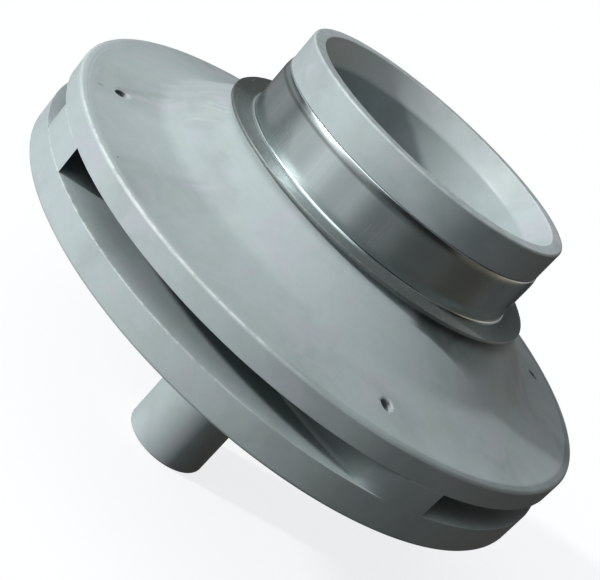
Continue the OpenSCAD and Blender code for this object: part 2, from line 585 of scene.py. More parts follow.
@dataclass(frozen=True)
class MouldedPlastic:
    """Blue-grey filled plastic with a satin moulded skin and faint cloudiness, worn paler corners, and painted light
    and shade: highlights on the rims and the land, light on the lead-in, light reflected from the flange, and shade
    and shadow on the step, the land, the cone by the flange, in the channels and in the holes.
    """

    base: Colour = (0.348, 0.415, 0.432)
    cloud: Colour = (0.288, 0.338, 0.350)
    lilac: Colour = (0.372, 0.400, 0.438)
    green: Colour = (0.335, 0.402, 0.392)
    pale: Colour = (0.62, 0.68, 0.69)
    # dark tone of the painted shade and shadow, and of the dark streak
    shade_tone: Colour = (0.085, 0.105, 0.105)
    roughness: float = 0.46
    cloudiness: float = 0.85
    lilac_share: float = 0.75
    green_share: float = 0.70
    # strength of the paler corners: painted highlight on the light side, and wear
    edge_wear_and_highlight: float = 0.8
    land_highlight: float = 0.22
    lead_in_light: float = 0.42
    # strengths of the painted shade on the step and land, and of the flange's painted shadow
    step_shade: float = 0.35
    land_shade: float = 0.50
    flange_shadow: float = 0.78
    flange_wide_shade: float = 0.12
    channel_shade: float = 0.7
    hole_shade: float = 0.9
    streak_darkness: float = 0.16
    streak_glint: float = 0.12
    spot_share: float = 0.85
    nick_wear: float = 0.6
    relief: float = 0.025 * MM
    crown: float = 0.40 * MM
    crown_w: float = 2.1 * MM
    front_side: Point = (-0.44, -0.90)
    lit_side: Point = (-0.77, -0.64)
    across_eye: Point = (-0.87, 0.50)
    right_side: Point = (0.87, -0.50)
    right_end: Point = (0.90, 0.44)
    lower_right: Point = (0.44, -0.90)
    spots: tuple[Spot, ...] = ()
    glint_streaks: tuple[Scratch, ...] = ()
    dark_streaks: tuple[Scratch, ...] = ()

    def material(self, name: str) -> bpy.types.Material:
        """Builds the material.

        Args:
            name: The material's name.

        Returns:
            The material.
        """
        material, g = new_material(name)
        place, x, y, z, radius = g.round_place()
        clouds = g.noise(place, 46.0, 3.0, 0.6)
        tints = g.noise(place, 95.0, 2.0, 0.8)
        patches = g.noise(place, 260.0, 3.0, 0.8)
        grain = g.noise(place, 2600.0, 3.0)
        flow = g.noise(g.vector(radius * 900.0, x * 25.0, y * 25.0), 1.0, 2.0)
        colour = g.mix(clouds.step(0.44, 0.66) * self.cloudiness, self.base, self.cloud)
        colour = g.mix(tints.step(0.52, 0.66) * self.lilac_share, colour, self.lilac)
        colour = g.mix(tints.step(0.48, 0.34) * self.green_share, colour, self.green)
        mottle = (flow - 0.5) * 0.09 + (patches - 0.5) * 0.24 + (grain - 0.5) * 0.14 + 0.04
        colour = g.mix(mottle, colour, self.pale)
        # Painted light: a paler land on the side facing the light, and a paler lead-in on the far side of the eye.
        colour = g.mix(self._painted_light(x, y, radius, z), colour, self.pale)
        # Paler corners: a painted highlight along the rims' upper edges on the side facing the light, and worn paler
        # edges and lip.
        worn_and_lit = self._worn_and_lit_edges(x, y, radius, z) * g.noise(place, 520.0, 3.0).step(0.34, 0.60)
        colour = g.mix(worn_and_lit * self.edge_wear_and_highlight, colour, self.pale)
        uneven = g.noise(place, 170.0, 2.0).step(0.20, 0.62) * 0.4 + 0.6
        # Painted shade along the rim's step and land on the side away from the light, and the flange's painted shadow
        # on the cone.
        colour = g.mix(self._painted_shade(x, y, radius, z) * uneven, colour, self.shade_tone)
        # Painted shade deep in the channels.
        colour = g.mix(self._shade_in_channels(radius, z) * self.channel_shade, colour, self.shade_tone)
        for spot in self.spots:
            mark = g.distance(place, spot.at).step(spot.radius, spot.radius * CORE)
            colour = g.mix(mark * self.spot_share, colour, (spot.lightness,) * 3)
        # Painted shade on the shaded side of the small holes.
        colour = g.mix(self._shade_in_holes(g, place, radius, z) * self.hole_shade, colour, self.shade_tone)
        # A faint dark streak up the cone from a small hole.
        colour = g.mix(Scratch.total(g, place, self.dark_streaks) * self.streak_darkness, colour, self.shade_tone)
        nicks = self._nicks(g, place, z)
        # Painted reflected light: pale streaks on the cone beside the steel flange.
        glint_streaks = Scratch.total(g, place, self.glint_streaks) * self.streak_glint
        colour = g.mix(nicks * self.nick_wear + glint_streaks, colour, self.pale)
        rough = (grain - 0.5) * 0.10 + (clouds - 0.5) * 0.10 + self.roughness + worn_and_lit * 0.06
        relief = grain * 0.6 + flow * 0.25 - nicks * 1.5
        g.surface(
            {
                "Base Color": colour,
                "Roughness": rough,
                "Normal": g.bump(relief, self.relief, 0.5, self._rounded_land(g, radius, z)),
                "Specular IOR Level": 0.5,
            }
        )
        return material

    def _worn_and_lit_edges(self, x: Wire, y: Wire, radius: Wire, z: Wire) -> Wire:
        """Marks the paler corners: along the rims' upper edges, a painted highlight on the side that faces the light
        over slight wear all round, and wear on the front rim's lower edge and on the lip.

        Args:
            x: The place's number along X.
            y: The place's number along Y.
            radius: The distance from the Z axis.
            z: The height.

        Returns:
            The share of the surface that it covers, from 0 to 1.
        """
        outer = radius.step(SIZES.rim_r - 0.62 * MM, SIZES.rim_r - 0.40 * MM)
        side = along(x, y, self.front_side).step(49 * MM, 59 * MM)
        # painted highlight, only on the side facing the light
        rim_top = outer * z.near(SIZES.z_rim - 0.16 * MM, 0.26 * MM) * side
        rear_edge = outer * z.near(SIZES.z_floor - 0.04 * MM, 0.26 * MM) * (side * 0.8 + 0.15)
        front_edge = outer * z.near(SIZES.z_outlet + 0.04 * MM, 0.20 * MM) * 0.6
        lip = z.step(SIZES.z_lip - 0.40 * MM, SIZES.z_lip - 0.1 * MM) * 0.35
        return (rim_top + rear_edge + front_edge + lip).math("MINIMUM", 1.0)

    def _painted_light(self, x: Wire, y: Wire, radius: Wire, z: Wire) -> Wire:
        """Marks painted light, which makes the surface slightly paler: a painted highlight on the land on the side
        that faces the light, and painted light on the lead-in across from it.

        Args:
            x: The place's number along X.
            y: The place's number along Y.
            radius: The distance from the Z axis.
            z: The height.

        Returns:
            The share of the surface that it covers, from 0 to 1.
        """
        land = radius.step(SIZES.rim_r - 2.0 * MM, SIZES.rim_r - 1.3 * MM) * z.near(SIZES.z_rim - 0.1 * MM, 0.5 * MM)
        lit = along(x, y, self.lit_side).step(28 * MM, 60 * MM)
        lead_in = radius.step(SIZES.throat_r + 2.9 * MM, SIZES.throat_r + 2.4 * MM)
        lead_in = lead_in * z.step(SIZES.z_lip - 5.4 * MM, SIZES.z_lip - 4.8 * MM)
        far = along(x, y, self.across_eye).step(4 * MM, 24 * MM)
        return land * lit * self.land_highlight + lead_in * far * self.lead_in_light

    def _painted_shade(self, x: Wire, y: Wire, radius: Wire, z: Wire) -> Wire:
        """Marks painted shade: a dark line along the fine step and a darker land of the front rim on the side away
        from the light, and the painted shadow of the steel flange on the cone beside it.

        Args:
            x: The place's number along X.
            y: The place's number along Y.
            radius: The distance from the Z axis.
            z: The height.

        Returns:
            The share of the surface that it covers, from 0 to 1.
        """
        inner = SIZES.rim_r - SIZES.rim_round - FrontShroud.land_w
        step = radius.near(inner + 0.02 * MM, 0.14 * MM) * z.near(SIZES.z_rim - 0.10 * MM, 0.2 * MM)
        step = step * (x + y * -0.35).step(-45 * MM, 5 * MM) * self.step_shade
        land = radius.step(inner - 0.4 * MM, inner + 0.4 * MM) * z.near(SIZES.z_rim - 0.1 * MM, 0.5 * MM)
        land = land * along(x, y, self.right_side).step(30 * MM, 62 * MM) * self.land_shade
        end = along(x, y, self.right_end)
        behind = along(x, y, self.lower_right).step(38.1 * MM, 37.5 * MM) * end.step(0.0, 4 * MM)
        close = end.step(30 * MM, 8 * MM) * radius.step(42 * MM, 38.5 * MM)
        shadow = close * self.flange_shadow + radius.step(45 * MM, 40 * MM) * self.flange_wide_shade
        on_cone = z.step(SIZES.z_seat, SIZES.z_seat - MM) * z.step(SIZES.z_rim + MM, SIZES.z_rim + 3 * MM)
        on_cone = on_cone * radius.step(33.5 * MM, 34.5 * MM)
        return (step + land + behind * shadow * on_cone).math("MINIMUM", 1.0)

    @staticmethod
    def _shade_in_channels(radius: Wire, z: Wire) -> Wire:
        """Marks painted shade deep in the channels: on the vanes' sides and under the front shroud.

        Args:
            radius: The distance from the Z axis.
            z: The height.

        Returns:
            The share of the surface that it covers, from 0 to 1.
        """
        deep = radius.step(SIZES.rim_r - 0.8 * MM, SIZES.rim_r - 5 * MM) * radius.step(30 * MM, 34 * MM)
        rise = 0.30
        roof = SIZES.z_outlet + rise * SIZES.rim_r + 0.5 * MM
        under = (radius * rise + z).step(roof + 0.4 * MM, roof)
        return deep * under * z.step(SIZES.z_floor + 0.2 * MM, SIZES.z_floor + 1.2 * MM)

    @staticmethod
    def _shade_in_holes(g: Graph, place: Wire, radius: Wire, z: Wire) -> Wire:
        """Marks painted shade on the shaded side of the small holes.

        Args:
            g: The material's graph.
            place: The place on the piece.
            radius: The distance from the Z axis.
            z: The height.

        Returns:
            The share of the surface that it covers, from 0 to 1.
        """
        slope, shaded = 0.21, (-0.75 * MM, 0.60 * MM)
        ring = FrontShroud.hole_ring_r
        depth = radius * -slope + (FrontShroud().on_cone(ring, 0.0)[2] + slope * ring) - z
        flat = g.vector_math("MULTIPLY", place, (1.0, 1.0, 0.0))
        inside: Wire | float = 0.0
        for x, y, _ in FrontShroud.hole_places():
            inside = g.distance(flat, (x + shaded[0], y + shaded[1], 0.0)).step(1.5 * MM, 1.1 * MM) + inside
        return inside * depth.step(0.08 * MM, 0.30 * MM) * z.step(SIZES.z_outlet, SIZES.z_outlet + 0.5 * MM)

    def _rounded_land(self, g: Graph, radius: Wire, z: Wire) -> Wire:
        """Gives the normal of the front rim's land, which is slightly rounded towards its corner.

        Args:
            g: The material's graph.
            radius: The distance from the Z axis.
            z: The height.

        Returns:
            The normal.
        """
        inner = radius.step(SIZES.rim_r - 0.45 * MM, SIZES.rim_r - self.crown_w)
        height = inner * z.step(SIZES.z_rim - 0.50 * MM, SIZES.z_rim - 0.25 * MM)
        return g.bump(height, self.crown)

    @staticmethod
    def _nicks(g: Graph, place: Wire, z: Wire) -> Wire:
        """Marks tiny nicks in the lip's edge."""
        return g.noise(place, 700.0, 2.0).step(0.66, 0.74) * z.step(SIZES.z_lip - 0.5 * MM, SIZES.z_lip)


@dataclass(frozen=True)
class PolishedSteel:
    """Stainless sheet, polished along the axis on the sleeve, with smears, scratches and a duller flange, painted
    shade on the flange's left end and a painted dark reflection in the crease under the turned-in band.
    """

    base: Colour = (0.630, 0.722, 0.738)
    smear: Colour = (0.305, 0.38, 0.388)
    dull: Colour = (0.165, 0.185, 0.178)
    shaded: Colour = (0.030, 0.032, 0.022)
    bright: Colour = (0.86, 0.87, 0.87)
    roughness: float = 0.24
    flange_roughness: float = 0.36
    least_roughness: float = 0.08
    flange_dullness: float = 0.85
    flange_clean: float = 0.5
    flange_shade: float = 0.45
    crease_dark_reflection: float = 0.65
    smudge_depth: float = 0.65
    relief: float = 0.006 * MM
    scratches: tuple[Scratch, ...] = ()

    def material(self, name: str) -> bpy.types.Material:
        """Builds the material.

        Args:
            name: The material's name.

        Returns:
            The material.
        """
        material, g = new_material(name)
        place, x, y, z, radius = g.round_place()
        on_flange = radius.step(SIZES.ring_r + 0.3 * MM, SIZES.ring_r + 0.8 * MM)
        axial = g.noise(g.scaled(place, (1.0, 1.0, 0.02)), 3200.0, 2.0)
        coarse = g.noise(g.scaled(place, (1.0, 1.0, 0.06)), 520.0, 3.0)
        turned = g.noise(g.vector(radius * 4200.0, x * 40.0, y * 40.0), 1.0, 2.0)
        flecks = g.noise(place, 1500.0, 2.0).step(0.60, 0.70) * on_flange
        wide = g.noise(place, 75.0, 3.0, 0.5)
        brushed = axial * (1 - on_flange) + turned * on_flange
        smudge = g.distance(place, self.smudge_at()).step(4.4 * MM, 1.4 * MM)
        smudge = smudge * g.noise(g.scaled(place, (1.0, 1.0, 0.3)), 420.0, 2.0).step(0.34, 0.60)
        marks = Scratch.total(g, place, self.scratches)
        # Painted dark reflection along the crease at the foot of the turned-in band, on the -x side only.
        crease = z.near(SIZES.z_turn + 0.55 * MM, 0.60 * MM) * (1 - on_flange) * x.step(14 * MM, -6 * MM)
        clean = x.step(17 * MM, 34 * MM) * -self.flange_clean + self.flange_dullness
        left = x.step(0.0, -5 * MM) * y.step(-16 * MM, -2 * MM) * self.flange_shade
        rough = (brushed - 0.5) * 0.06 + (coarse - 0.5) * 0.10 + (wide - 0.5) * 0.12 + self.roughness
        rough = rough + on_flange * self.flange_roughness + flecks * 0.1 + smudge * 0.08
        dark = wide.step(0.54, 0.74) * 0.30 + (brushed - 0.5) * 0.18 + (coarse - 0.5) * 0.35 + 0.08
        colour = g.mix(dark.math("MAXIMUM", 0.0), self.base, self.smear)
        colour = g.mix(smudge * self.smudge_depth, colour, self.smear)
        colour = g.mix(on_flange * clean, colour, self.dull)
        colour = g.mix(on_flange * left, colour, self.shaded)
        colour = g.mix(crease * self.crease_dark_reflection, colour, self.dull)
        colour = g.mix((flecks * 0.2 + marks * 0.6).math("MINIMUM", 1.0), colour, self.bright)
        g.surface(
            {
                "Base Color": colour,
                "Metallic": 1.0,
                "Roughness": rough.math("MAXIMUM", self.least_roughness),
                "Normal": g.bump(brushed * 0.4 + coarse * 0.25 + marks, self.relief, 0.45),
            }
        )
        return material

    @staticmethod
    def smudge_at() -> Place:
        """Gives the place of the dark smear on the sleeve, low on its left side."""
        return on_round(SIZES.ring_r, -133.0, SIZES.z_seat + 3.3 * MM)


@dataclass(frozen=True)
class TurnedBrass:
    """Turned brass with fine tool rings and a little tarnish."""

    base: Colour = (0.66, 0.47, 0.20)
    tarnish: Colour = (0.30, 0.20, 0.09)
    roughness: float = 0.34
    relief: float = 0.01 * MM

    def material(self, name: str) -> bpy.types.Material:
        """Builds the material.

        Args:
            name: The material's name.

        Returns:
            The material.
        """
        material, g = new_material(name)
        place, _, _, z, radius = g.round_place()
        rings = g.noise(g.vector(radius * 4500.0, z * 2500.0, 0.0), 1.0, 2.0)
        dull = g.noise(place, 260.0, 3.0, 0.6)
        colour = g.mix(dull.step(0.45, 0.75) * 0.6, self.base, self.tarnish)
        g.surface(
            {
                "Base Color": colour,
                "Metallic": 1.0,
                "Roughness": (rings - 0.5) * 0.2 + (dull - 0.5) * 0.2 + self.roughness,
                "Normal": g.bump(rings, self.relief, 0.6),
            }
        )
        return material


@dataclass
class Channels:
    """The passages between the shrouds: their floor, their roof, and the vanes that part them."""

    vane_count: int = 4
    vane_angle: float = 28.8
    vane_deg: float = 15.2
    narrow_deg: float = 11.9
    narrow_vane: int = 3
    outlet: float = 30.0
    curve_r: float = 52.0 * MM
    start_r: float = 22.0 * MM
    nose: float = 3.0 * MM
    blunt: float = 0.14
    tip_reach: float = 1.0 * MM
    tip_deg: float = 4.0
    floor_w: float = 14.0 * MM
    nose_edge_r: float = 14.0 * MM
    nose_edge_h: float = 11.5 * MM
    flare_r: float = 9.75 * MM
    flare_start: float = 4.5 * MM
    flare_slope: float = 31.0
    past: float = 1.0 * MM

    @property
    def pitch(self) -> int:
        """Number of columns of the mesh from one vane to the next."""
        return Fineness.SMOOTH.value // self.vane_count

    @property
    def floor_edge(self) -> Point:
        """Inner edge of the flat stretch of floor."""
        return SIZES.rim_r - self.floor_w, SIZES.z_floor

    @property
    def flare_end(self) -> Point:
        """Lower end of the flare under the throat.

        Returns:
            The point, as radius and height.
        """
        slope = math.radians(self.flare_slope)
        return (
            SIZES.throat_r + self.flare_r * (1 - math.sin(slope)),
            SIZES.z_seat + self.flare_start - self.flare_r * math.cos(slope),
        )

    def floor(self, r: float) -> float:
        """Gives the height of the floor at a radius.

        Args:
            r: Radius.

        Returns:
            The height.
        """
        edge = self.floor_edge[0]
        if r >= edge:
            return SIZES.z_floor
        run = edge - self.nose_edge_r
        bend = (run * run + self.nose_edge_h**2) / (2 * self.nose_edge_h)
        return SIZES.z_floor + bend - math.sqrt(bend * bend - (edge - r) ** 2)

    def roof(self, r: float) -> float:
        """Gives the height of the vanes' tops at a radius, inside the eye too.

        Args:
            r: Radius.

        Returns:
            The height.
        """
        start = self.flare_end
        if r < start[0]:
            foot_z = SIZES.z_floor + self.nose_edge_h - self.past
            share = (r - self.nose_edge_r) / (start[0] - self.nose_edge_r)
            return foot_z + share * (start[1] - foot_z)
        end = (SIZES.rim_r, SIZES.z_outlet)
        across, up = end[0] - start[0], end[1] - start[1]
        first = math.radians(-self.flare_slope)
        half = math.atan2(up, across) - first
        bend = math.hypot(across, up) / (2 * math.sin(half))
        return start[1] + bend * (math.cos(first) - math.cos(math.asin(math.sin(first) + (r - start[0]) / bend)))

    def sweep(self, r: float) -> float:
        """Gives the angle by which a vane at a radius lags behind its corner at the rim.

        Args:
            r: Radius.

        Returns:
            The angle in degrees.
        """
        rim, bend = SIZES.rim_r, self.curve_r
        centre = math.sqrt(rim * rim + bend * bend - 2 * rim * bend * math.cos(math.radians(self.outlet)))

        def angle(at: float) -> float:
            """Gives the angle of the vanes' arc at a radius."""
            return math.degrees(math.acos((centre * centre + at * at - bend * bend) / (2 * centre * at)))

        return angle(max(r, self.start_r)) - angle(rim)

    def width(self, vane: int) -> float:
        """Gives the width of one vane's end, in degrees."""
        return self.narrow_deg if vane % self.vane_count == self.narrow_vane else self.vane_deg

    def columns(self, vane: int) -> int:
        """Gives how many columns of the mesh one vane takes."""
        return round(self.width(vane))

    def column(self, index: int, r: float) -> float:
        """Gives the angle of one column of the mesh at a radius.

        Columns follow the vanes' curve, so that each face of a vane lies on one column.

        Args:
            index: Number of the column, from the pressure face of the first vane.
            r: Radius.

        Returns:
            The angle in degrees.
        """
        vane, at = divmod(index, self.pitch)
        wide, taken = self.width(vane), self.columns(vane)
        inset = max(0.0, self.start_r + self.nose - r) / self.nose
        share = max(self.blunt, math.sqrt(max(0.0, 1 - inset * inset)))
        near_rim = min(1.0, max(0.0, r - SIZES.rim_r + self.tip_reach) / self.tip_reach)
        tip = self.tip_deg * (1 - math.sqrt(1 - near_rim * near_rim))
        first = wide / 2 * (1 - share) + tip
        last = wide / 2 * (1 + share)
        following = 360 / self.vane_count
        next_tip = tip + self.width(vane + 1) / 2 * (1 - share)
        if at <= taken:
            turned = first + (last - first) * at / taken
        else:
            turned = last + (following + next_tip - last) * (at - taken) / (self.pitch - taken)
        return self.vane_angle + vane * following + turned

    def in_vane(self, index: int) -> bool:
        """Tells whether the strip after a column belongs to a vane."""
        vane, at = divmod(index % Fineness.SMOOTH.value, self.pitch)
        return at < self.columns(vane)

    def index(self, v: Vector) -> int:
        """Gives the number of the column that a point of an unturned lathe is in."""
        return round(polar(v)[1] - self.vane_angle) % Fineness.SMOOTH.value


CHANNELS = Channels()


def turn_to(v: bmesh.types.BMVert, angle: float) -> None:
    """Turns a vertex about the axis to an angle in degrees, at its own radius.

    Args:
        v: The vertex.
        angle: Its new angle about the axis, in degrees.
    """
    r = math.hypot(v.co.x, v.co.y)
    a = math.radians(angle)
    v.co.x, v.co.y = r * math.cos(a), r * math.sin(a)


@dataclass
class RearShroud:
    """Disc, swept vanes, nose and long hub, moulded as one piece."""

    name: str = "rear_shroud_moulding"
    hub_round: float = 0.6 * MM
    collar_r: float = 13.0 * MM
    collar_h: float = 3.0 * MM
    rim_w: float = 4.0 * MM
    wall: float = 3.5 * MM
    nose_h: float = 3.4 * MM
    draft: float = 0.3 * MM
    edge_round: float = 0.28 * MM
    vane_round: float = 0.45 * MM
    groove_w: float = 3.0 * MM
    groove_depth: float = 0.8 * MM
    groove_count: int = 3
    rows: int = 44
    tip_rows: int = 7
    inner_rows: int = 8
    back_steps: int = 24
    cap_steps: int = 14
    edge_steps: int = 4
    bend_deg: float = 20.0
    nose_bend_deg: float = 30.0

    def seat(self) -> list[Point]:
        """Gives the outline of the insert's seat, from its mouth up.

        Returns:
            The points, as radius and height.
        """
        pitch = SIZES.insert_len / (self.groove_count + 1)
        inner = SIZES.insert_r - self.groove_depth
        points = [(SIZES.insert_r, 0.0)]
        for i in range(1, self.groove_count + 1):
            low, high = i * pitch - self.groove_w / 2, i * pitch + self.groove_w / 2
            points += [(SIZES.insert_r, low), (inner, low), (inner, high), (SIZES.insert_r, high)]
        return [*points, (SIZES.insert_r, SIZES.insert_len)]

    def radii(self) -> list[float]:
        """Gives the radii of the floor's rows, finer in the vanes' rounded tips and by their inner ends.

        Returns:
            The radii, from the rim inwards.
        """
        inner, reach = CHANNELS.start_r, CHANNELS.tip_reach
        span = SIZES.rim_r - reach - inner
        tips = [SIZES.rim_r - reach * (1 - math.cos(math.pi / 2 * i / self.tip_rows)) for i in range(self.tip_rows)]
        eased = [0.5 + 0.5 * math.cos(math.pi * i / self.rows) for i in range(self.rows + 1)]
        return [*tips, *[inner + span * share for share in eased]]

    def outline(self) -> list[Point]:
        """Gives the section, from the top of the insert's seat round by the hub and the rim to the nose.

        Returns:
            The points, as radius and height.
        """
        root = (self.collar_r + self.draft, SIZES.z_floor + CHANNELS.nose_edge_h - self.wall)
        edge = CHANNELS.floor_edge
        back = arc_to((edge[0], edge[1] - self.wall), root, 180.0, self.back_steps)
        recess_r = SIZES.rim_r - self.rim_w
        nose_r, nose_z = CHANNELS.nose_edge_r, SIZES.z_floor + CHANNELS.nose_edge_h
        ball = (nose_r**2 + self.nose_h**2) / (2 * self.nose_h)
        cap = math.asin(nose_r / ball)
        angles = [cap * (1 - i / self.cap_steps) for i in range(1, self.cap_steps + 1)]
        inward = (nose_r - CHANNELS.start_r) / self.inner_rows
        inner = [CHANNELS.start_r + inward * i for i in range(1, self.inner_rows)]
        return [
            (0.0, SIZES.insert_len),
            *reversed(self.seat()),
            (SIZES.hub_r, 0.0),
            (SIZES.hub_r, SIZES.hub_reach - self.collar_h),
            (self.collar_r, SIZES.hub_reach - self.collar_h),
            *reversed(back),
            (recess_r - self.draft, SIZES.z_floor - self.wall),
            (recess_r, SIZES.hub_reach),
            (SIZES.rim_r, SIZES.hub_reach),
            *[(r, CHANNELS.floor(r)) for r in self.radii()],
            *[(r, CHANNELS.floor(r)) for r in [*inner, nose_r]],
            *[(ball * math.sin(a), nose_z + self.nose_h - ball * (1 - math.cos(a))) for a in angles],
        ]

    def build(self) -> bpy.types.Object:
        """Turns the section, raises the vanes from its floor and rounds the edges.

        Returns:
            The moulding.
        """
        bm = Lathe.turn(self.outline(), Fineness.SMOOTH.value, CHANNELS.vane_angle, closed=False)
        strips = self._lay_columns(bm)
        self._raise_vanes(bm, strips)
        for at, radius in (
            ((SIZES.hub_r, 0.0), self.hub_round),
            ((SIZES.rim_r, SIZES.hub_reach), SIZES.rim_round),
            ((SIZES.rim_r - self.rim_w, SIZES.hub_reach), self.edge_round),
            ((SIZES.hub_r, SIZES.hub_reach - self.collar_h), self.edge_round),
            ((self.collar_r, SIZES.hub_reach - self.collar_h), self.edge_round),
        ):
            Lathe.soften(bm, Lathe.ring(bm, at), radius, self.edge_steps)
        bmesh.ops.recalc_face_normals(bm, faces=bm.faces)
        return finished(self.name, bm)

    def _on_floor(self, v: bmesh.types.BMVert) -> bool:
        """Tells whether a vertex is on the floor of the channels."""
        r = math.hypot(v.co.x, v.co.y)
        return r > CHANNELS.nose_edge_r - Lathe.weld and abs(v.co.z - CHANNELS.floor(r)) < Lathe.reach

    @staticmethod
    def _on_nose(v: bmesh.types.BMVert) -> bool:
        """Tells whether a vertex is on the nose, but for its middle."""
        return v.co.z > SIZES.z_floor + CHANNELS.nose_edge_h - Lathe.weld and math.hypot(v.co.x, v.co.y) > Lathe.weld

    def _lay_columns(self, bm: bmesh.types.BMesh) -> dict[bmesh.types.BMFace, int]:
        """Turns the columns of the floor to follow the vanes' curve.

        Args:
            bm: The turned section.

        Returns:
            The number of the strip that each face of the floor is in.
        """
        kept = [v for v in bm.verts if math.hypot(v.co.x, v.co.y) > SIZES.insert_r or self._on_nose(v)]
        indices = {v: CHANNELS.index(v.co) for v in kept}
        strips = {}
        count = Fineness.SMOOTH.value
        for face in bm.faces:
            if all(self._on_floor(v) for v in face.verts):
                ids = {indices[v] for v in face.verts}
                low, high = min(ids), max(ids)
                strips[face] = high if high - low > count / 2 else low
        for v, index in indices.items():
            r = math.hypot(v.co.x, v.co.y)
            if self._on_floor(v) and r > CHANNELS.start_r - Lathe.weld:
                turn_to(v, CHANNELS.column(index, r) - CHANNELS.sweep(r))
            elif self._on_floor(v) or self._on_nose(v):
                turn_to(v, CHANNELS.column(index, CHANNELS.start_r) - CHANNELS.sweep(CHANNELS.start_r))
            elif abs(r - SIZES.rim_r) < Lathe.weld:
                turn_to(v, CHANNELS.column(index, r))
        return strips

    def _raise_vanes(self, bm: bmesh.types.BMesh, strips: dict[bmesh.types.BMFace, int]) -> None:
        """Extrudes the vanes up to the front shroud, and rounds what stays open.

        Args:
            bm: The mesh with its columns laid.
            strips: The number of the strip that each face of the floor is in.
        """
        inner = CHANNELS.start_r - Lathe.weld
        feet = [
            f
            for f, strip in strips.items()
            if CHANNELS.in_vane(strip) and all(math.hypot(v.co.x, v.co.y) > inner for v in f.verts)
        ]
        made = bmesh.ops.extrude_face_region(bm, geom=feet)["geom"]
        tops = {g for g in made if isinstance(g, bmesh.types.BMVert)}
        for v in tops:
            v.co.z = CHANNELS.roof(math.hypot(v.co.x, v.co.y))
        left = [f for f in feet if f.is_valid]
        if left:
            bmesh.ops.delete(bm, geom=left, context="FACES")
        Lathe.soften(bm, [e for e in bm.edges if self._free_edge(e, tops)], self.vane_round)
        Lathe.soften(bm, [e for e in bm.edges if self._window_edge(e)], self.edge_round)

    def _free_edge(self, e: bmesh.types.BMEdge, tops: set[bmesh.types.BMVert]) -> bool:
        """Tells whether an edge of a vane's top is inside the eye, where no shroud covers it.

        Args:
            e: The edge.
            tops: The vertices of the vanes' tops.

        Returns:
            Whether it is such an edge.
        """
        free_end = CHANNELS.flare_end[0]
        on_top = all(v in tops and math.hypot(v.co.x, v.co.y) < free_end for v in e.verts)
        return on_top and e.is_manifold and e.calc_face_angle(0.0) > math.radians(self.nose_bend_deg)

    def _window_edge(self, e: bmesh.types.BMEdge) -> bool:
        """Tells whether an edge frames the outlet of a channel, on the floor's rim or at a vane's tip.

        Args:
            e: The edge.

        Returns:
            Whether it is such an edge.
        """
        heights = [v.co.z for v in e.verts]
        level = all(abs(z - SIZES.z_floor) < Lathe.weld for z in heights)
        upright = max(heights) - min(heights) > SIZES.outlet_h / 2 and min(heights) > SIZES.z_floor - Lathe.weld
        at_rim = all(math.hypot(v.co.x, v.co.y) > SIZES.rim_r - Lathe.weld for v in e.verts)
        bent = e.is_manifold and e.calc_face_angle(0.0) > math.radians(self.bend_deg)
        return at_rim and bent and (level or upright)


